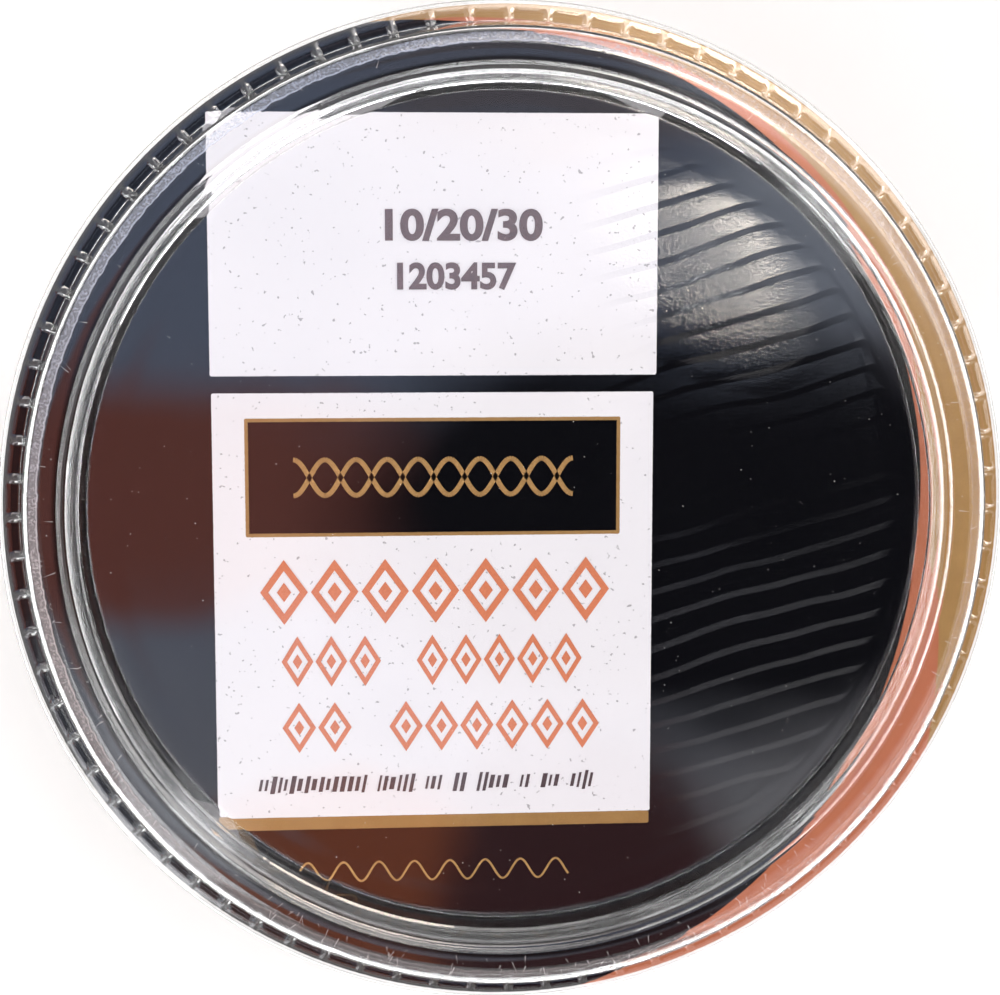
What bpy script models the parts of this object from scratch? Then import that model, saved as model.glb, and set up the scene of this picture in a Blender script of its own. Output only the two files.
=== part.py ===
"""A round cheese pot: a filled tub, the printed film that seals it and a clear press-on lid.

Units are metres and +Z is up. The origin is the middle of the tub's foot, on the table.
"""
from math import atan2, cos, floor, radians, sin, tau

import bmesh
import bpy

MM = 0.001

# Driving dimensions
LID_TOP = 57.0 * MM           # table to the top of the lid's rim
LID_RADIUS = 50.5 * MM        # outside of the lid's skirt
PANEL_RADIUS = 41.5 * MM      # the lid's flat, sunken middle
RIM_RISE = 4.3 * MM           # the rim above that middle
LID_WALL = 0.4 * MM
SKIRT_DROP = 8.2 * MM         # rim top down to the skirt's lower edge
RIBS = 80                     # grip ribs round the skirt, one to each step of the turning
HALF_RIB = 0.16               # half a rib's width, as a share of the ribs' pitch
FILM_RADIUS = 49.7 * MM
FILM_THICKNESS = 0.3 * MM
FLANGE_RADIUS = 49.6 * MM     # the tub's flange
FOOT_RADIUS = 39.0 * MM       # the tub's wall, just above its rounded foot
FOOT_ROUNDING = 2.6 * MM      # from that wall in to the flat ring
FOOT_RING_WIDTH = 2.6 * MM    # the flat ring that the pot stands on
GAP = 0.3 * MM                # clearance between neighbours

# Heights that follow from them
PANEL_TOP = LID_TOP - RIM_RISE
FILM_TOP = PANEL_TOP - LID_WALL - GAP
TUB_TOP = FILM_TOP - FILM_THICKNESS - GAP

# The pockets between the ribs: a height on the lid's slope, and how far the wall sinks in there
POCKET_HEAD = LID_TOP - 1.5 * MM
POCKET_HEAD_DEPTH = 0.35 * MM
POCKET_FOOT = LID_TOP - 3.8 * MM
POCKET_FOOT_DEPTH = 0.9 * MM

SAME_PLACE = 0.01 * MM        # points closer than this are one point


def clear_scene():
    """Remove every object of the start-up file."""
    for thing in list(bpy.data.objects):
        bpy.data.objects.remove(thing, do_unlink=True)


def plastic(name, colour, roughness, transmission=0.0):
    """A plain Principled material in one colour."""
    material = bpy.data.materials.new(name)
    material.use_nodes = True
    shader = material.node_tree.nodes["Principled BSDF"]
    shader.inputs["Base Color"].default_value = (*colour, 1.0)
    shader.inputs["Roughness"].default_value = roughness
    shader.inputs["Metallic"].default_value = 0.0
    shader.inputs["Transmission Weight"].default_value = transmission
    return material


def turned(profile):
    """Spin (radius, height) points, listed from the axis out and down the outer side, once round Z."""
    bm = bmesh.new()
    points = [bm.verts.new((radius, 0.0, height)) for radius, height in profile]
    edges = [bm.edges.new(pair) for pair in zip(points, points[1:])]
    bmesh.ops.spin(
        bm, geom=points + edges, cent=(0, 0, 0), axis=(0, 0, 1), angle=tau, steps=RIBS, use_merge=True
    )
    bmesh.ops.remove_doubles(bm, verts=bm.verts, dist=SAME_PLACE)
    bmesh.ops.recalc_face_normals(bm, faces=bm.faces)
    return bm


def sink_pockets(bm, height, depth):
    """Sink the ring of edges at this height into pockets, and leave a narrow rib between each two."""
    ring = [edge for edge in bm.edges if all(abs(vert.co.z - height) < SAME_PLACE for vert in edge.verts)]
    made = bmesh.ops.subdivide_edges(bm, edges=ring, cuts=2)
    pitch = tau / RIBS
    for vert in (item for item in made["geom_inner"] if isinstance(item, bmesh.types.BMVert)):
        turns = atan2(vert.co.y, vert.co.x) / pitch
        rib = floor(turns)
        side = HALF_RIB if turns - rib < 0.5 else 1.0 - HALF_RIB
        radius = vert.co.xy.length - depth
        vert.co.x = radius * cos((rib + side) * pitch)
        vert.co.y = radius * sin((rib + side) * pitch)


def finish(name, bm, material):
    """Turn the bmesh into a named, smoothly shaded object with its material."""
    mesh = bpy.data.meshes.new(name)
    bm.to_mesh(mesh)
    bm.free()
    mesh.materials.append(material)
    mesh.shade_smooth()
    mesh.set_sharp_from_angle(angle=radians(35))
    body = bpy.data.objects.new(name, mesh)
    bpy.context.scene.collection.objects.link(body)
    return body


def make_tub():
    """The filled tub: a foot ring, a tapered wall, a stacking shoulder, a straight neck and a flange."""
    foot_ring = FOOT_RADIUS - FOOT_ROUNDING
    profile = [
        (0.0, TUB_TOP),
        (FLANGE_RADIUS - 0.3 * MM, TUB_TOP),
        (FLANGE_RADIUS, TUB_TOP - 0.3 * MM),
        (FLANGE_RADIUS, TUB_TOP - 1.1 * MM),
        (FLANGE_RADIUS - 3.2 * MM, TUB_TOP - 1.4 * MM),
        (FLANGE_RADIUS - 3.7 * MM, TUB_TOP - 2.0 * MM),
        (FLANGE_RADIUS - 4.0 * MM, TUB_TOP - 7.4 * MM),
        (FLANGE_RADIUS - 5.2 * MM, TUB_TOP - 8.6 * MM),
        (FOOT_RADIUS + 1.0 * MM, 4.2 * MM),
        (FOOT_RADIUS + 0.4 * MM, 2.2 * MM),
        (FOOT_RADIUS - 0.8 * MM, 0.7 * MM),
        (foot_ring, 0.0),
        (foot_ring - FOOT_RING_WIDTH, 0.0),
        (foot_ring - FOOT_RING_WIDTH - 0.8 * MM, 0.9 * MM),
        (0.0, 0.9 * MM),
    ]
    return finish("tub", turned(profile), plastic("tub_white", (0.83, 0.82, 0.79), 0.35))


def make_film():
    """The printed peel film, a thin disc that lies over the whole flange."""
    profile = [
        (0.0, FILM_TOP),
        (FILM_RADIUS, FILM_TOP),
        (FILM_RADIUS, FILM_TOP - FILM_THICKNESS),
        (0.0, FILM_TOP - FILM_THICKNESS),
    ]
    return finish("seal_film", turned(profile), plastic("film_black", (0.012, 0.011, 0.013), 0.2))


def make_lid():
    """The clear lid: a sunken panel, a stepped wall, a raised rim, a ribbed slope and a gripping skirt."""
    outside = [
        (0.0, PANEL_TOP),
        (PANEL_RADIUS, PANEL_TOP),
        (PANEL_RADIUS + 0.5 * MM, PANEL_TOP + 0.4 * MM),
        (PANEL_RADIUS + 0.8 * MM, PANEL_TOP + 1.6 * MM),
        (PANEL_RADIUS + 1.2 * MM, PANEL_TOP + 1.9 * MM),
        (PANEL_RADIUS + 1.5 * MM, LID_TOP - 0.7 * MM),
        (PANEL_RADIUS + 2.0 * MM, LID_TOP - 0.1 * MM),
        (LID_RADIUS - 4.9 * MM, LID_TOP),
        (LID_RADIUS - 3.6 * MM, LID_TOP - 0.25 * MM),
        (LID_RADIUS - 3.0 * MM, LID_TOP - 0.9 * MM),
        (LID_RADIUS - 2.5 * MM, POCKET_HEAD),
        (LID_RADIUS - 1.4 * MM, POCKET_FOOT),
        (LID_RADIUS - 0.7 * MM, PANEL_TOP + 0.1 * MM),
        (LID_RADIUS, PANEL_TOP - 0.5 * MM),
        (LID_RADIUS, LID_TOP - SKIRT_DROP),
    ]
    skin = turned(outside)
    sink_pockets(skin, POCKET_HEAD, POCKET_HEAD_DEPTH)
    sink_pockets(skin, POCKET_FOOT, POCKET_FOOT_DEPTH)
    lid = finish("lid", skin, plastic("lid_clear", (0.93, 0.94, 0.94), 0.06, transmission=0.9))
    wall = lid.modifiers.new("wall", "SOLIDIFY")
    wall.thickness = LID_WALL
    wall.offset = -1.0
    wall.use_even_offset = True
    return lid


clear_scene()
make_tub()
make_film()
make_lid()
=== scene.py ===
"""A round cheese pot, seen from above: a white tub, a printed peel film and a clear press-on lid."""

import random
from math import atan2, cos, floor, radians, sin, tau

import bmesh
import bpy
from mathutils import Matrix, Vector, noise


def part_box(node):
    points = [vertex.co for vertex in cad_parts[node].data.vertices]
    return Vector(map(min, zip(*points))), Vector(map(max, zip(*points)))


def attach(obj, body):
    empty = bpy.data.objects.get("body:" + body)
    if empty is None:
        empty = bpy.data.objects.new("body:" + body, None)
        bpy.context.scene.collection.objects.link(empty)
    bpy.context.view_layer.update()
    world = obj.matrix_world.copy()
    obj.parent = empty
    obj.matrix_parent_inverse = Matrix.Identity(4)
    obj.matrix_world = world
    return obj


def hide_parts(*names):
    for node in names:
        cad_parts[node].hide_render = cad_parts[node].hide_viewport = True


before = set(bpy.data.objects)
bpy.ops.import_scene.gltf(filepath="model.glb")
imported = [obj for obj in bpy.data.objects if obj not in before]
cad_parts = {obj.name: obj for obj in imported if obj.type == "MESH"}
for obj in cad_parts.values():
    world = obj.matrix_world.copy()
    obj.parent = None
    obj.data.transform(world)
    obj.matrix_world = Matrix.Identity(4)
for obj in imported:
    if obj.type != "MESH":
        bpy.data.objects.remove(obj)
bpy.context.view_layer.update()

# ---------------------------------------------------------------------------------------------
# The tub: white polypropylene, injection moulded in one shot, with a wide flange that the film
# is sealed to. It stands on a foot ring round a recessed base with the mould's gate mark.

MM = 0.001
SAME_PLACE = 0.004 * MM
_, tub_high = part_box("tub")
_, film_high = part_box("seal_film")
FLANGE = tub_high.x
FILM_THICKNESS = 0.16 * MM
TUB_RIM = film_high.z - FILM_THICKNESS - 0.02 * MM
NECK = TUB_RIM - 7.8 * MM
FOOT = FLANGE - 10.6 * MM
TUB_STEPS = 240
SECTORS = 16


class Wire:
    """An output socket of a node tree. Arithmetic on it adds Math nodes, and node() adds any other."""

    def __init__(self, tree, socket):
        self.tree = tree
        self.socket = socket

    def node(self, kind, settings, inputs, output=0):
        """Add a node: its settings come first, then the values or wires of its sockets."""
        made = self.tree.nodes.new(kind)
        for name, value in settings.items():
            if name == "stops":
                for stop, (position, colour) in enumerate(value):
                    ramp = made.color_ramp.elements
                    element = ramp[stop] if stop < len(ramp) else ramp.new(position)
                    element.position = position
                    element.color = (*colour, 1.0)
            else:
                setattr(made, name, value)
        for name, value in inputs.items():
            if isinstance(value, Wire):
                self.tree.links.new(value.socket, made.inputs[name])
            else:
                made.inputs[name].default_value = value
        return Wire(self.tree, made.outputs[output])

    def math(self, operation, first, second=0.0):
        return self.node("ShaderNodeMath", {"operation": operation}, {0: first, 1: second})

    def __add__(self, other):
        return self.math("ADD", self, other)

    __radd__ = __add__

    def __sub__(self, other):
        return self.math("SUBTRACT", self, other)

    def __rsub__(self, other):
        return self.math("SUBTRACT", other, self)

    def __mul__(self, other):
        return self.math("MULTIPLY", self, other)

    __rmul__ = __mul__

    def __truediv__(self, other):
        return self.math("DIVIDE", self, other)

    def __abs__(self):
        return self.math("ABSOLUTE", self)

    def above(self, other):
        """The larger of the two."""
        return self.math("MAXIMUM", self, other)

    def below(self, other):
        """The smaller of the two."""
        return self.math("MINIMUM", self, other)

    def floor(self):
        return self.math("FLOOR", self)

    def root(self):
        return self.math("SQRT", self)

    def clamped(self):
        """Kept between 0 and 1."""
        return self.node("ShaderNodeClamp", {}, {"Value": self})

    def between(self, low, high):
        """0 at low and below, 1 at high and above, and smooth in between."""
        return self.node(
            "ShaderNodeMapRange", {"interpolation_type": "SMOOTHSTEP"}, {0: self, 1: low, 2: high}
        )

    def noise(self, scale, detail=2.0, roughness=0.5):
        """Noise at this point, about 0 to 1."""
        sockets = {"Vector": self, "Scale": scale, "Detail": detail, "Roughness": roughness}
        return self.node("ShaderNodeTexNoise", {}, sockets)

    def parts(self):
        """The x, y and z of a vector."""
        return [self.node("ShaderNodeSeparateXYZ", {}, {0: self}, axis) for axis in range(3)]

    def times(self, factors):
        """A vector with each part multiplied."""
        return self.node("ShaderNodeVectorMath", {"operation": "MULTIPLY"}, {0: self, 1: factors})

    def mix(self, first, second):
        """From the first colour at 0 to the second at 1."""
        return self.node("ShaderNodeMix", {"data_type": "RGBA"}, {0: self, 6: first, 7: second}, 2)

    def bump(self, strength, distance):
        """The normal of a surface raised by this height."""
        sockets = {"Strength": strength, "Distance": distance, "Height": self}
        return self.node("ShaderNodeBump", {}, sockets)

    def into(self, name):
        """Feed a socket of the material's Principled shader."""
        self.tree.links.new(self.socket, self.tree.nodes["Principled BSDF"].inputs[name])


def tint(red, green, blue):
    """A display colour, 0 to 255, as the linear colour that shaders take."""
    shares = [part / 255.0 for part in (red, green, blue)]
    return (*[s / 12.92 if s < 0.04045 else ((s + 0.055) / 1.055) ** 2.4 for s in shares], 1.0)


def paint(name, **uniform):
    """A material with a Principled shader. Returns it and its Object coordinates in millimetres."""
    material = bpy.data.materials.new(name)
    material.use_nodes = True
    tree = material.node_tree
    for socket, value in uniform.items():
        tree.nodes["Principled BSDF"].inputs[socket.replace("_", " ")].default_value = value
    place = Wire(tree, tree.nodes.new("ShaderNodeTexCoord").outputs["Object"])
    return material, place.times((1 / MM, 1 / MM, 1 / MM))


def rounded(corners, steps=3):
    """An outline through (radius, height, rounding) corners, each cut back by its rounding and bent."""
    outline = []
    for place, (radius, height, rounding) in enumerate(corners):
        corner = Vector((radius, height))
        if rounding == 0.0:
            outline.append(corner)
            continue
        before = Vector(corners[place - 1][:2]) - corner
        after = Vector(corners[place + 1][:2]) - corner
        start = corner + before.normalized() * min(rounding, before.length / 2)
        end = corner + after.normalized() * min(rounding, after.length / 2)
        for step in range(steps + 1):
            share = step / steps
            outline.append(start.lerp(corner, share).lerp(corner.lerp(end, share), share))
    return outline


def inset(corners, depth):
    """The corners of the outline that runs parallel to this one, to the inside, at this depth."""
    places = [Vector(corner[:2]) for corner in corners]
    sides = [(end - start).normalized().orthogonal() for start, end in zip(places, places[1:])]
    moved = []
    for place, corner in enumerate(places):
        before = sides[max(place - 1, 0)]
        after = sides[min(place, len(sides) - 1)]
        inward = (before + after).normalized()
        moved.append((*(corner - inward * depth / inward.dot(after)), corners[place][2]))
    return moved


def turned(outline, steps):
    """Spin an outline of (radius, height) points part of the way round Z, and double that up to a shell."""
    shell = bmesh.new()
    points = [shell.verts.new((radius, 0.0, height)) for radius, height in outline]
    edges = [shell.edges.new(pair) for pair in zip(points, points[1:])]
    share = SECTORS
    bmesh.ops.spin(
        shell, geom=points + edges, cent=(0, 0, 0), axis=(0, 0, 1), angle=tau / share, steps=steps // share
    )
    while share > 1:
        copied = bmesh.ops.duplicate(shell, geom=shell.verts[:] + shell.edges[:] + shell.faces[:])["geom"]
        corners = [item for item in copied if isinstance(item, bmesh.types.BMVert)]
        bmesh.ops.rotate(shell, verts=corners, cent=(0, 0, 0), matrix=Matrix.Rotation(tau / share, 3, "Z"))
        share //= 2
    bmesh.ops.remove_doubles(shell, verts=shell.verts, dist=SAME_PLACE)
    bmesh.ops.recalc_face_normals(shell, faces=shell.faces)
    return shell


def piece(name, shell, material, sharp=40.0):
    """Finish a shell as a smoothly shaded object that rides on the pot."""
    mesh = bpy.data.meshes.new(name)
    shell.to_mesh(mesh)
    shell.free()
    mesh.materials.append(material)
    mesh.shade_smooth()
    mesh.set_sharp_from_angle(angle=radians(sharp))
    made = bpy.data.objects.new(name, mesh)
    bpy.context.scene.collection.objects.link(made)
    flats = made.modifiers.new("flats_stay_flat", "WEIGHTED_NORMAL")
    flats.keep_sharp = True
    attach(made, "root")
    return made


tub_corners = [
    (0.0, TUB_RIM, 0.0),
    (FLANGE, TUB_RIM, 0.25 * MM),
    (FLANGE, TUB_RIM - 1.3 * MM, 0.25 * MM),
    (FLANGE - 3.3 * MM, TUB_RIM - 1.7 * MM, 0.7 * MM),
    (FLANGE - 4.0 * MM, NECK, 0.6 * MM),
    (FLANGE - 5.2 * MM, NECK - 1.1 * MM, 0.6 * MM),
    (FOOT + 1.0 * MM, 5.4 * MM, 1.5 * MM),
    (FOOT + 0.1 * MM, 1.4 * MM, 1.2 * MM),
    (FOOT - 2.6 * MM, 0.0, 0.9 * MM),
    (FOOT - 5.2 * MM, 0.0, 0.4 * MM),
    (FOOT - 6.0 * MM, 0.9 * MM, 0.4 * MM),
    (14.0 * MM, 0.9 * MM, 0.3 * MM),
    (13.4 * MM, 1.2 * MM, 0.3 * MM),
    (1.8 * MM, 1.2 * MM, 0.2 * MM),
    (1.3 * MM, 0.7 * MM, 0.2 * MM),
    (0.0, 0.7 * MM, 0.0),
]
tub_white, at = paint("tub_white", IOR=1.49)
mottle = at.noise(0.08, 3.0)
grain = at.noise(2.6, 3.0, 0.6)
mottle.between(0.3, 0.7).mix(tint(203, 200, 193), tint(207, 205, 199)).into("Base Color")
(0.30 + 0.10 * mottle + 0.06 * grain).into("Roughness")
(grain + 0.5 * at.times((0.4, 0.4, 2.0)).noise(0.7)).bump(0.25, 0.02 * MM).into("Normal")
tub = piece("tub_wall", turned(rounded(tub_corners, 5), TUB_STEPS), tub_white)
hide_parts("tub")

# ---------------------------------------------------------------------------------------------
# The peel film: a polyester disc heat sealed flat onto the flange, with shallow ripples over the
# opening. Its ground is gold. A copper field covers most of that and a black field most of the
# copper, each of them two overlapping discs, and the white panels lie on top.

FILM_EDGE = FLANGE + 0.52 * MM
OPENING = 40.1 * MM
FILM_TOP = film_high.z
RING_PITCH = 0.8 * MM
FILM_STEPS = 368
SLACK = 0.03 * MM

# The print, in millimetres from the pot's middle: discs as a middle and a radius, blocks as corners.
BLACK_DISCS = (((-8.3, -1.8), 50.3), ((-3.5, 2.0), 45.9))
COPPER_DISCS = (((-16.0, -14.0), 60.5), ((-3.3, 1.9), 46.9))
UPPER_FIELD = ((-29.6, 13.8), (14.9, 39.6))
LOWER_FIELD = ((-29.5, -31.1), (14.6, 12.1))
GOLD_BAR = ((-29.6, -32.4), (14.5, -31.1))
NAME_BOX = ((-26.3, -2.3), (11.3, 9.6))
NAME_BORDER = 0.36


def smooth(value, low, high):
    """0 at low and below, 1 at high and above, and smooth in between."""
    share = min(max((value - low) / (high - low), 0.0), 1.0)
    return share * share * (3 - 2 * share)


def film_relief(x, y):
    """How far the film over the opening hangs below its sealed edge at this place."""
    loose = 1.0 - smooth(Vector((x, y)).length, OPENING - 0.9 * MM, OPENING)
    return loose * SLACK * (noise.noise(Vector((x, y, 3 * MM)) / (9 * MM)) - 1.2)


def near_edge(distance, soft=0.05):
    """1 inside an outline and 0 outside it, from a signed distance in millimetres."""
    return (0.5 - distance / soft).clamped()


def disc(x, y, centre, radius):
    """Signed distance to a disc."""
    across = x - centre[0]
    along = y - centre[1]
    return (across * across + along * along).root() - radius


def either_disc(x, y, discs):
    """1 inside either of two discs and 0 outside both."""
    first, second = [near_edge(disc(x, y, centre, radius)) for centre, radius in discs]
    return first.above(second)


def box_distance(across, along, corner):
    """Signed distance from how far a point is past a box's sides, less its rounding."""
    inner = across.above(along).below(0.0)
    beyond_x = across.above(0.0)
    beyond_y = along.above(0.0)
    return (beyond_x * beyond_x + beyond_y * beyond_y).root() + inner - corner


def block(x, y, low, high, corner=0.2):
    """Signed distance to an upright block with rounded corners."""
    across = abs(x - (low[0] + high[0]) / 2) - ((high[0] - low[0]) / 2 - corner)
    along = abs(y - (low[1] + high[1]) / 2) - ((high[1] - low[1]) / 2 - corner)
    return box_distance(across, along, corner)


film_print, at = paint("film_print", IOR=1.5)
x, y, _ = at.parts()
ragged_x, ragged_y, _ = at.node("ShaderNodeTexNoise", {}, {"Vector": at, "Scale": 3.0}, 1).parts()
x = x + 0.06 * (ragged_x - 0.5)
y = y + 0.06 * (ragged_y - 0.5)
grain = at.noise(5.5, 1.0)
speckle = at.noise(2.2, 1.0).between(0.70, 0.75)
tone = 0.5 * grain + 0.5 * at.noise(0.5, 1.0)

black = either_disc(x, y, BLACK_DISCS)
copper = either_disc(x, y, COPPER_DISCS)
upper_field = near_edge(block(x, y, *UPPER_FIELD))
lower_field = near_edge(block(x, y, *LOWER_FIELD))
gold_bar = near_edge(block(x, y, *GOLD_BAR))
name_box = block(x, y, *NAME_BOX)
gold_ink = tone.mix(tint(136, 98, 46), tint(166, 128, 72))
copper_ink = tone.mix(tint(160, 84, 50), tint(184, 108, 74))
white_ink = at.noise(0.07, 1.0).mix(tint(226, 224, 228), tint(236, 233, 236))
black_ink = tint(5, 5, 6)

shown = copper.mix(gold_ink, copper_ink)
shown = black.mix(shown, black_ink)
white = upper_field.above(lower_field)
shown = (white * (1 - speckle * 0.5)).mix(shown, white_ink)
shown = gold_bar.mix(shown, gold_ink)
shown = near_edge(name_box).mix(shown, gold_ink)
box_black = near_edge(name_box + NAME_BORDER)
shown = box_black.mix(shown, black_ink)
shown.into("Base Color")
metal = (1 - black).above(gold_bar)
(0.08 * metal).into("Metallic")
(0.04 + 0.04 * grain + 0.19 * white * (1 - box_black) + 0.16 * metal).into("Roughness")

# Ripples run across the opening, deepest where the film was crumpled, and end at the seal. Each
# has a long side and a short one. Their pitch is in millimetres.
RIPPLE_PITCH = 2.7
RIPPLE_RISE = radians(16)
RIPPLE_HEIGHT = 0.26
LONG_SIDE = 0.76
rise = y * cos(RIPPLE_RISE) - x * sin(RIPPLE_RISE) + 2.4 * at.noise(0.07, 1.0)
step = rise / RIPPLE_PITCH
step = step - step.floor()
ripple = (1 - step / LONG_SIDE).above((step - LONG_SIDE) / (1 - LONG_SIDE))
crumpled = 1 - disc(x + 0.5 * y, y, (31.0, 23.5), 0.0).between(3.0, 12.0)
loose = near_edge(disc(x, y, (0.0, 0.0), 39.6), 1.0)
depth = loose * (0.10 * x.between(2.0, 18.0) + 0.90 * crumpled)
crinkle = at.noise(3.4, 2.0, 0.6) * loose * (0.002 + 0.042 * crumpled)
(RIPPLE_HEIGHT * depth * ripple + crinkle).bump(1.0, MM).into("Normal")

film_outline = [Vector((ring * RING_PITCH, FILM_TOP)) for ring in range(round(FILM_EDGE / RING_PITCH))]
film_outline += rounded([
    (FILM_EDGE - 0.4 * MM, FILM_TOP, 0.0),
    (FILM_EDGE, FILM_TOP - 0.01 * MM, 0.05 * MM),
    (FILM_EDGE, FILM_TOP - FILM_THICKNESS, 0.0),
    (0.0, FILM_TOP - FILM_THICKNESS, 0.0),
])
film_shell = turned(film_outline, FILM_STEPS)
for vert in film_shell.verts:
    if vert.co.z > FILM_TOP - FILM_THICKNESS / 2:
        vert.co.z += film_relief(vert.co.x, vert.co.y)
film = piece("printed_film", film_shell, film_print)
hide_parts("seal_film")

# ---------------------------------------------------------------------------------------------
# The film's small print: bands of copper lozenges, a row of dark dashes, a gold braid and a thin
# wave, each a layer of ink on the film.

INK_HEIGHT = 0.02 * MM
LOZENGE_WIDTH = 0.94
HOLE_SHARE = 0.66
HEART_SHARE = 0.30
DASH_MIDDLE = -27.7
DASH_SLANT = 0.4
DASHES_LEFT = -25.4
DASHES_RIGHT = 9.4
BRAID_LEFT = -21.5
BRAID_STEP = 0.2
BRAID_MIDDLE = 3.65
BRAID_SWING = 1.8
BRAID_PITCH = 6.2
WAVE_LEFT = -21.4
WAVE_STEP = 0.15
WAVE_MIDDLE = -36.9
WAVE_TURN = 0.26
copper_print, at = paint("copper_print", IOR=1.5, Roughness=0.3)
at.noise(4.0).mix(tint(192, 96, 54), tint(216, 126, 82)).into("Base Color")
dark_print, at = paint("dark_print", IOR=1.5, Roughness=0.3)
at.noise(4.0).mix(tint(44, 28, 36), tint(64, 44, 50)).into("Base Color")
gold_print, at = paint("gold_print", IOR=1.5, Roughness=0.25, Metallic=0.35)
at.noise(4.0).mix(tint(146, 106, 58), tint(190, 150, 92)).into("Base Color")


def lay(shell, loop, hole=None):
    """Lay a flat patch of ink, in millimetres, with an outline and, if given, a hole of as many corners."""
    height = FILM_TOP + INK_HEIGHT
    outer = [shell.verts.new((across * MM, up * MM, height)) for across, up in loop]
    if hole is None:
        shell.faces.new(outer)
        return
    inner = [shell.verts.new((across * MM, up * MM, height)) for across, up in hole]
    for place in range(len(outer)):
        shell.faces.new([outer[place - 1], outer[place], inner[place], inner[place - 1]])


def lozenge(centre, half_width, half_height):
    """The four corners of a lozenge, anticlockwise."""
    across, up = centre
    return [
        (across + half_width, up),
        (across, up + half_height),
        (across - half_width, up),
        (across, up - half_height),
    ]


def lozenge_band(shell, left, right, middle, half_height, count, gap=None):
    """A band of outlined lozenges, each with a small one inside, and none at the gap."""
    pitch = (right - left) / count
    for index in range(count):
        if index == gap:
            continue
        centre = (left + (index + 0.5) * pitch, middle)
        half_width = pitch * LOZENGE_WIDTH / 2
        hole = lozenge(centre, half_width * HOLE_SHARE, half_height * HOLE_SHARE)
        lay(shell, lozenge(centre, half_width, half_height), hole)
        lay(shell, lozenge(centre, half_width * HEART_SHARE, half_height * HEART_SHARE))


def ribbon(shell, points, width):
    """A strip of ink of this width along a line of points."""
    for start, end in zip(points, points[1:]):
        side = (Vector(end) - Vector(start)).normalized().orthogonal() * width / 2
        lay(shell, [Vector(start) - side, Vector(end) - side, Vector(end) + side, Vector(start) + side])


title = bmesh.new()
lozenge_band(title, -25.1, 10.4, -7.9, 3.3, 7)
lozenge_band(title, -23.0, 7.6, -15.0, 2.6, 9, 3)
lozenge_band(title, -23.0, 9.4, -21.8, 2.6, 9, 2)
piece("title_lozenges", title, copper_print)

dashes = bmesh.new()
draw = random.Random(4)
left = DASHES_LEFT
while left < DASHES_RIGHT:
    wide = draw.uniform(0.22, 0.5)
    tall = draw.uniform(0.55, 1.0)
    slant = DASH_SLANT * tall
    lay(dashes, [
        (left, DASH_MIDDLE - tall),
        (left + wide, DASH_MIDDLE - tall),
        (left + wide + slant, DASH_MIDDLE + tall),
        (left + slant, DASH_MIDDLE + tall),
    ])
    left += wide + (1.3 if draw.random() < 0.16 else 0.3)
piece("dash_row", dashes, dark_print)

braid = bmesh.new()
for side in (-1.0, 1.0):
    strand = []
    for step in range(141):
        place = BRAID_LEFT + BRAID_STEP * step
        swing = BRAID_SWING * sin((place + 7.5) * tau / BRAID_PITCH)
        strand.append((place, BRAID_MIDDLE + side * swing))
    ribbon(braid, strand, 0.5)
piece("name_braid", braid, gold_print)

wave = bmesh.new()
crests = []
for step in range(185):
    crests.append((WAVE_LEFT + WAVE_STEP * step, WAVE_MIDDLE + sin(step * WAVE_TURN)))
ribbon(wave, crests, 0.22)
piece("thin_wave", wave, gold_print)

# ---------------------------------------------------------------------------------------------
# The date code: plain figures sprayed onto the white field in brown-black ink.

CODE_HEIGHT = 0.06 * MM
code_ink, at = paint("code_ink", IOR=1.5)
at.noise(3.0, 2.0).mix(tint(48, 22, 28), tint(66, 34, 40)).into("Base Color")
(0.35 + 0.2 * at.noise(4.0)).into("Roughness")


def figures(name, text, size, widening, middle):
    """Printed figures as a thin closed mesh on the film, centred on a place."""
    curve = bpy.data.curves.new(name, "FONT")
    curve.body = text
    curve.size = size
    curve.align_x = "CENTER"
    curve.align_y = "CENTER"
    curve.offset = 0.035 * size
    curve.extrude = 0.008 * MM
    holder = bpy.data.objects.new(name, curve)
    mesh = bpy.data.meshes.new_from_object(holder)
    bpy.data.objects.remove(holder)
    shell = bmesh.new()
    shell.from_mesh(mesh)
    bmesh.ops.remove_doubles(shell, verts=shell.verts, dist=SAME_PLACE / 4)
    bmesh.ops.scale(shell, verts=shell.verts, vec=(widening, 1.0, 1.0))
    bmesh.ops.translate(shell, verts=shell.verts, vec=(*middle, FILM_TOP + CODE_HEIGHT))
    return piece(name, shell, code_ink, 30.0)


figures("date_figures", "10/20/30", 4.1 * MM, 1.12, (-4.8 * MM, 28.5 * MM))
figures("batch_figures", "1203457", 3.5 * MM, 1.0, (-5.5 * MM, 23.5 * MM))

# ---------------------------------------------------------------------------------------------
# The lid: thin clear plastic, pressed from sheet, with a sunken panel, a stepped inner wall and a
# raised rim. Its steep outer slope ends at a ledge with a ring of small pockets, and a skirt below
# the ledge clips over the flange.

lid_low, lid_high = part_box("lid")
LID_TOP = lid_high.z
LID_EDGE = lid_high.x
LID_FOOT = lid_low.z
PANEL = LID_TOP - 4.3 * MM
RIBS = 80
COLUMNS = (0.0, 0.05, 0.09, 0.15, 0.26, 0.38, 0.5, 0.62, 0.74, 0.85, 0.91, 0.95)
WALL = 0.3 * MM
LEDGE = LID_TOP - 4.0 * MM
LEDGE_INSIDE = 48.35 * MM
LEDGE_ROWS = (48.5, 48.7, 49.0, 49.08, 49.38)
LEDGE_FALL = 0.125
KNURL = PANEL + 2.14 * MM
KNURL_RADIUS = 42.5 * MM
KNURL_DEPTH = 0.02 * MM
SHOULDER = 46.1 * MM
SHOULDER_WEAR = 0.12 * MM
GRAIN_SIZE = 0.3 * MM
POCKET_HEEL = 48.5 * MM
POCKET_LENGTH = 0.84 * MM
POCKET_HALF_WIDTH = 0.45
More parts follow.
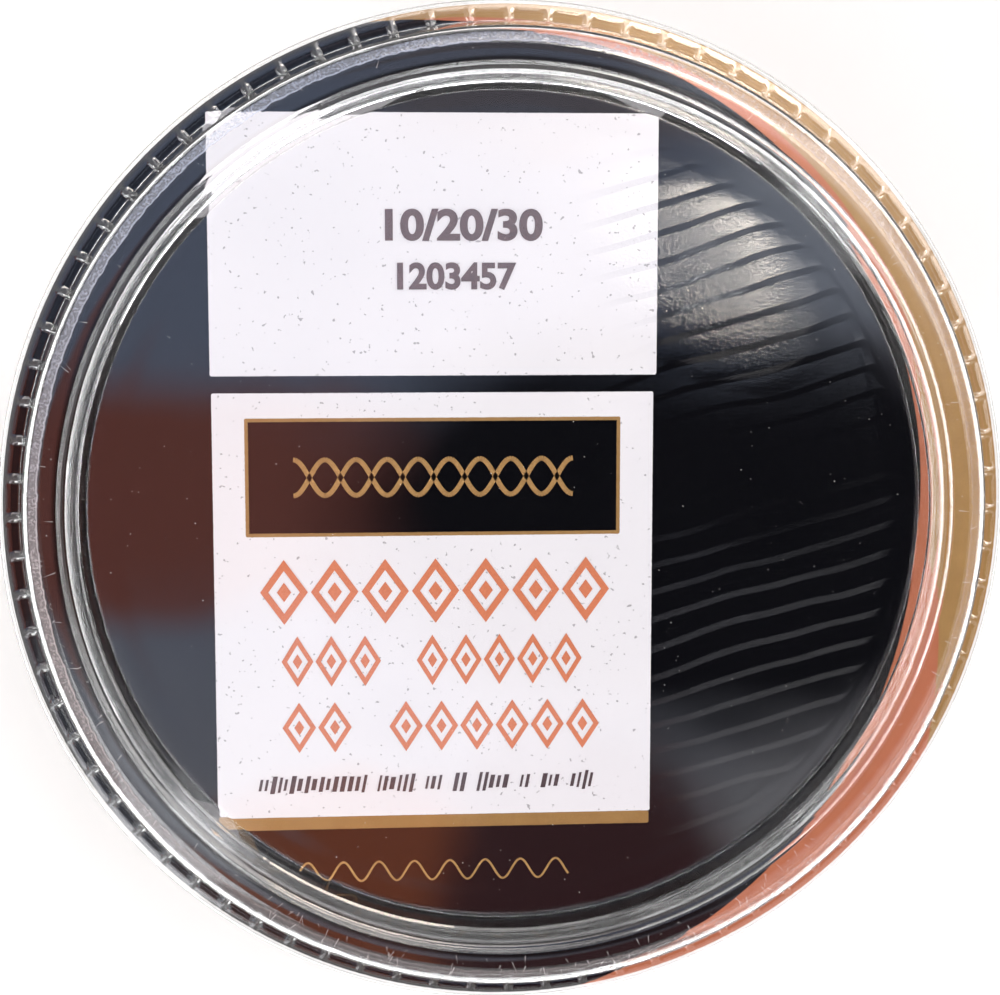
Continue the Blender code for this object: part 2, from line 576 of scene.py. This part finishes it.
POCKET_TOE_DEPTH = 0.06 * MM
POCKET_TILT = 0.27
POCKET_TOE = 49.25 * MM
POCKET_LIP = 49.38 * MM


def ledge_height(radius):
    """The height of the ledge at the foot of the slope, which falls a little outwards."""
    return LEDGE - (radius - LEDGE_INSIDE) * LEDGE_FALL


lid_corners = [
    (0.0, PANEL, 0.0),
    (41.85 * MM, PANEL, 0.05 * MM),
    (42.32 * MM, KNURL - 0.04 * MM, 0.04 * MM),
    (42.68 * MM, KNURL + 0.04 * MM, 0.1 * MM),
    (42.98 * MM, LID_TOP - 0.96 * MM, 0.1 * MM),
    (43.18 * MM, LID_TOP - 0.65 * MM, 0.1 * MM),
    (43.54 * MM, LID_TOP - 0.4 * MM, 0.1 * MM),
    (43.75 * MM, LID_TOP - 0.34 * MM, 0.05 * MM),
    (43.93 * MM, LID_TOP - 0.3 * MM, 0.05 * MM),
    (44.12 * MM, LID_TOP - 0.05 * MM, 0.08 * MM),
    (44.4 * MM, LID_TOP, 0.0),
    (45.8 * MM, LID_TOP, 0.0),
    (SHOULDER, LID_TOP, 0.15 * MM),
    (46.95 * MM, LID_TOP - 0.15 * MM, 0.1 * MM),
    (47.48 * MM, LID_TOP - 0.37 * MM, 0.1 * MM),
    (47.62 * MM, LID_TOP - 0.6 * MM, 0.1 * MM),
    (LEDGE_INSIDE, LEDGE, 0.1 * MM),
]
lid_corners += [(row * MM, ledge_height(row * MM), 0.0) for row in LEDGE_ROWS]
lid_corners += [
    (50.3 * MM, ledge_height(50.3 * MM), 0.1 * MM),
    (LID_EDGE, LEDGE - 0.45 * MM, 0.1 * MM),
    (LID_EDGE, LID_FOOT, 0.0),
]
lid_outline = rounded(lid_corners, 2) + list(reversed(rounded(inset(lid_corners, WALL), 1)))
lid_shell = turned(lid_outline, RIBS * len(COLUMNS))


def pocket(radius, across):
    """How deep the pocket between two webs is, at a radius and a share of the webs' pitch across."""
    beyond = max((radius - POCKET_HEEL) / POCKET_LENGTH, 0.0)
    inside = 1.0 - (abs(across - 0.5) / POCKET_HALF_WIDTH) ** 6 - beyond ** 8
    floor_depth = POCKET_TOE_DEPTH + POCKET_TILT * max(POCKET_TOE - radius, 0.0)
    depth = max(min(floor_depth, 0.4 * (POCKET_LIP - radius)), 0.0)
    return depth * smooth(inside, 0.0, 0.35) * smooth(radius, 48.34 * MM, 48.44 * MM)


# The rows of points stand evenly on the rings inside and, at the pockets, close up round each web.
for vert in lid_shell.verts:
    turns = atan2(vert.co.y, vert.co.x) * RIBS / tau
    rib = floor(turns + 0.01)
    radius = vert.co.xy.length
    place = round((turns - rib) * len(COLUMNS)) % len(COLUMNS)
    even = place / len(COLUMNS)
    across = even + (COLUMNS[place] - even) * smooth(radius, 47.0 * MM, 47.9 * MM)
    angle = (rib + across) * tau / RIBS
    if 48.0 * MM < radius < 49.6 * MM and abs(vert.co.z - ledge_height(radius) + WALL / 2) < WALL:
        vert.co.z -= pocket(radius, across)
    rough = noise.noise(Vector((cos(angle) * radius, sin(angle) * radius, vert.co.z)) / GRAIN_SIZE)
    if abs(radius - KNURL_RADIUS) < 0.25 * MM and abs(vert.co.z - KNURL) < 0.12 * MM:
        radius += KNURL_DEPTH * rough
        vert.co.z += KNURL_DEPTH / 2 * rough
    if abs(radius - SHOULDER) < 0.2 * MM and vert.co.z > LID_TOP - 0.1 * MM:
        radius += SHOULDER_WEAR * rough
    vert.co.x = radius * cos(angle)
    vert.co.y = radius * sin(angle)

CLEAR = (0.975, 0.98, 0.985, 1.0)
clear_lid, at = paint("clear_lid", IOR=1.5, Transmission_Weight=1.0, Roughness=0.0, Base_Color=CLEAR)
at.noise(0.09, 1.0).bump(0.3, 0.1 * MM).into("Normal")
lid = piece("clear_lid_shell", lid_shell, clear_lid, 50.0)
lid.visible_shadow = False
lid.visible_diffuse = False
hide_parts("lid")

# ---------------------------------------------------------------------------------------------
# Scuffs and painted reflection: the rim's outer shoulder is rubbed to a pale haze where pots have been
# stacked and slid, and the haze also stands in for the band's bright reflection as a painted reflection.

SCUFF_LIFT = 0.008 * MM
SCUFF_STEPS = 368
scuff_and_reflection_paint, at = paint("scuffed_rim_painted_reflection", IOR=1.5, Roughness=0.7)
x, y, _ = at.parts()
# Painted reflection: the haze is pink-lilac over most of the rim and blue towards the upper left, as the
# band's reflection is.
(y - 0.6 * x).between(15.0, 65.0).mix(tint(216, 200, 200), tint(196, 208, 234)).into("Base Color")
outward = (x * x + y * y).root() + 0.5 * (at.noise(1.2, 2.0) - 0.5)
rubbed_and_reflection_band = outward.between(46.02, 46.18) * (1 - outward.between(46.9, 47.1))
# Painted highlight: a pale line along the inner edge of the rubbed band.
worn_and_highlight_line = outward.between(45.98, 46.1) * (1 - outward.between(46.14, 46.26))
haze_and_painted_reflection = 0.20 + 0.24 * at.noise(4.0, 2.0).between(0.35, 0.75)
# The painted reflection is fainter towards the lower right.
((rubbed_and_reflection_band * haze_and_painted_reflection + 0.3 * worn_and_highlight_line) * (0.4 + 0.6 * (y - 0.6 * x).between(-30.0, 20.0))).into("Alpha")
scuff_outline = rounded([
    (45.75 * MM, LID_TOP - 0.004 * MM + SCUFF_LIFT, 0.0),
    (SHOULDER, LID_TOP + SCUFF_LIFT - 0.006 * MM, 0.1 * MM),
    (47.0 * MM, LID_TOP - 0.159 * MM + SCUFF_LIFT, 0.0),
])
piece("rim_scuffs_painted_reflection", turned(scuff_outline, SCUFF_STEPS), scuff_and_reflection_paint)

# ---------------------------------------------------------------------------------------------
# Scratches: fine pale lines that run outwards over the rim and its shoulder, left by handling and
# thickest on the near side. Each is a sliver that lies just above the plastic.

SCRATCH_COUNT = 130
NEAR_SIDE = -1.7
scratch_draw = random.Random(11)
scratches = bmesh.new()
for _ in range(SCRATCH_COUNT):
    angle = scratch_draw.gauss(NEAR_SIDE, 1.1)
    inner = scratch_draw.uniform(44.5, 46.4)
    outer = inner + scratch_draw.uniform(0.3, 1.3)
    lean = scratch_draw.uniform(-0.012, 0.012)
    half = scratch_draw.uniform(0.0003, 0.0006)
    corners = []
    for radius, turn in ((inner, angle - half), (outer, angle + lean), (inner, angle + half)):
        fall = max(radius * MM - SHOULDER, 0.0) * 0.18
        corners.append((radius * MM * cos(turn), radius * MM * sin(turn), LID_TOP + SCUFF_LIFT - fall))
    scratches.faces.new([scratches.verts.new(corner) for corner in corners])
scratched, at = paint("rim_scratches", IOR=1.5, Roughness=0.6)
at.noise(2.0).mix(tint(190, 180, 180), tint(232, 226, 224)).into("Base Color")
piece("rim_scratches", scratches, scratched)

# ---------------------------------------------------------------------------------------------
# Dust: pale specks that have settled on the panel and on the rim.

DUST_COUNT = 330
PANEL_REACH = 41.0 * MM
dust_grey, at = paint("dust_grey", IOR=1.5, Roughness=0.8)
at.noise(4.0).mix(tint(196, 194, 190), tint(236, 232, 228)).into("Base Color")
draw = random.Random(7)
dust_shell = bmesh.new()
for _ in range(DUST_COUNT):
    angle = draw.uniform(0.0, tau)
    on_panel = draw.random() < 0.8
    radius = PANEL_REACH * draw.random() ** 0.4 if on_panel else draw.uniform(43.6, 45.6) * MM
    height = PANEL if on_panel else LID_TOP - 0.05 * MM
    size = draw.uniform(0.02, 0.05) * MM
    shape = Matrix.Diagonal((draw.uniform(0.7, 1.6), draw.uniform(0.7, 1.3), 0.6, 1.0))
    place = Matrix.Translation((radius * cos(angle), radius * sin(angle), height + 0.3 * size))
    bmesh.ops.create_icosphere(
        dust_shell, subdivisions=1, radius=size, matrix=place @ Matrix.Rotation(angle, 4, "Z") @ shape
    )
piece("dust_specks", dust_shell, dust_grey, 180.0)

# ---------------------------------------------------------------------------------------------
# The studio: a pale table, a dim room overhead, soft boxes round the sides and the camera.

floor_paper, at = paint("floor_paper", Roughness=0.9)
at.noise(0.02, 3.0).mix(tint(241, 240, 239), tint(245, 244, 243)).into("Base Color")
floor_shell = bmesh.new()
bmesh.ops.create_grid(floor_shell, x_segments=1, y_segments=1, size=1.5)
floor_mesh = bpy.data.meshes.new("floor")
floor_shell.to_mesh(floor_mesh)
floor_shell.free()
floor_mesh.materials.append(floor_paper)
table = bpy.data.objects.new("floor", floor_mesh)
bpy.context.scene.collection.objects.link(table)

room = bpy.data.worlds.new("room")
bpy.context.scene.world = room
room.use_nodes = True
sky = room.node_tree
towards = Wire(sky, sky.nodes.new("ShaderNodeTexCoord").outputs["Generated"])
east, north, _ = towards.parts()
lean = (east * east + north * north).root()
ceiling = lean.node("ShaderNodeValToRGB", {"stops": [
    (0.0, (0.52, 0.62, 0.90)),
    (0.16, (0.56, 0.65, 0.90)),
    (0.30, (0.80, 0.80, 0.90)),
    (0.42, (1.20, 1.16, 1.14)),
    (0.56, (1.00, 0.96, 0.96)),
    (0.80, (0.50, 0.48, 0.48)),
    (0.97, (0.80, 0.80, 0.80)),
]}, {0: lean})


def distance(scaled, centre):
    """How far a direction is from this one."""
    sockets = {0: scaled, 1: (*centre, 0.0)}
    return scaled.node("ShaderNodeVectorMath", {"operation": "DISTANCE"}, sockets, 1)


def overhead(under, centre, reach, colour):
    """Hang a soft-edged oval of this colour overhead, centred on a leaning direction."""
    scaled = towards.times((1 / reach[0], 1 / reach[1], 0.0))
    away = distance(scaled, (centre[0] / reach[0], centre[1] / reach[1]))
    return away.between(0.75, 1.25).mix((*colour, 1.0), under)


ceiling = overhead(ceiling, (0.10, 0.09), (0.10, 0.05), (0.50, 0.46, 0.54))
ceiling = overhead(ceiling, (0.25, 0.01), (0.09, 0.05), (1.05, 1.15, 1.4))
ceiling = overhead(ceiling, (-0.11, -0.12), (0.18, 0.055), (0.72, 0.25, 0.20))
ceiling = overhead(ceiling, (0.00, -0.30), (0.08, 0.05), (0.92, 0.27, 0.14))
ceiling = overhead(ceiling, (0.11, -0.31), (0.07, 0.08), (0.22, 0.09, 0.10))
ceiling = overhead(ceiling, (0.17, -0.13), (0.17, 0.10), (0.02, 0.02, 0.03))
ceiling = overhead(ceiling, (0.62, -0.10), (0.20, 0.28), (0.25, 0.18, 0.16))

# A pale strip with a curved inner edge hangs over the far right of the pot, in front of a large
# white card. The strip goes on behind the pot's other side, where it leans out to the near left.
outwards = 0.72 * east + 0.69 * north
sideways = 0.72 * north - 0.69 * east
strip = distance(towards.times((1.0, 1.0, 0.0)), (0.077, -0.127)).between(0.204, 0.214)
strip = strip * sideways.between(-0.22, -0.19) * (1 - sideways.between(-0.07, -0.02))
ceiling = strip.mix(ceiling, (4.2, 4.2, 4.3, 1.0))
card = outwards.between(0.18, 0.22) * (1 - outwards.between(0.40, 0.50))
card = card * (1 - abs(sideways).between(0.24, 0.40))
ceiling = card.mix(ceiling, (5.3, 5.1, 5.0, 1.0))
background = sky.nodes["Background"]
sky.links.new(ceiling.socket, background.inputs["Color"])
background.inputs["Strength"].default_value = 1.0


def softbox(name, azimuth, zenith, away, width, depth, watts, colour=(1.0, 1.0, 1.0)):
    """A rectangular lamp that faces the pot, placed by its angles round and down from overhead."""
    data = bpy.data.lights.new(name, "AREA")
    data.shape = "RECTANGLE"
    data.size = width
    data.size_y = depth
    data.energy = watts
    data.color = colour
    lamp = bpy.data.objects.new(name, data)
    out = sin(radians(zenith))
    outward = Vector((out * cos(radians(azimuth)), out * sin(radians(azimuth)), cos(radians(zenith))))
    lamp.location = outward * away
    lamp.rotation_mode = "QUATERNION"
    lamp.rotation_quaternion = outward.to_track_quat("Z", "Y")
    lamp.visible_camera = False
    lamp.visible_diffuse = False
    bpy.context.scene.collection.objects.link(lamp)


LAMP_REACH = 0.8
softbox("glint", 48, 19.0, LAMP_REACH, 0.14, 0.14, 1.1, (1.0, 0.88, 0.74))
RING_LAMPS = 12
for number in range(RING_LAMPS):
    azimuth = number * 360 / RING_LAMPS
    far_side = max(sin(radians(azimuth)), 0.0)
    left_side = max(cos(radians(azimuth - 180)), 0.0)
    near_left = max(cos(radians(azimuth - 225)), 0.0)
    softbox(f"high_{number}", azimuth, 60, LAMP_REACH, 0.38, 0.24, 3.2 - 2.3 * far_side + 2.2 * left_side)
    softbox(f"low_{number}", azimuth, 79, LAMP_REACH, 0.42, 0.22, 0.6 + 2.6 * near_left)

LENS = 73.2
camera_data = bpy.data.cameras.new("camera")
camera_data.lens = LENS
camera = bpy.data.objects.new("camera", camera_data)
stand = Vector((-15.7 * MM, 26.1 * MM, 254.5 * MM))
aim = Vector((-1.2 * MM, 2.1 * MM, LID_TOP))
forward = (aim - stand).normalized()
across = forward.cross(Vector((0, 1, 0))).normalized()
turn = Matrix((across, across.cross(forward), -forward)).transposed()
camera.matrix_world = Matrix.Translation(stand) @ turn.to_4x4()
bpy.context.scene.collection.objects.link(camera)
bpy.context.scene.camera = camera
camera_data.clip_start = 0.01
bpy.context.scene.view_settings.view_transform = "Standard"
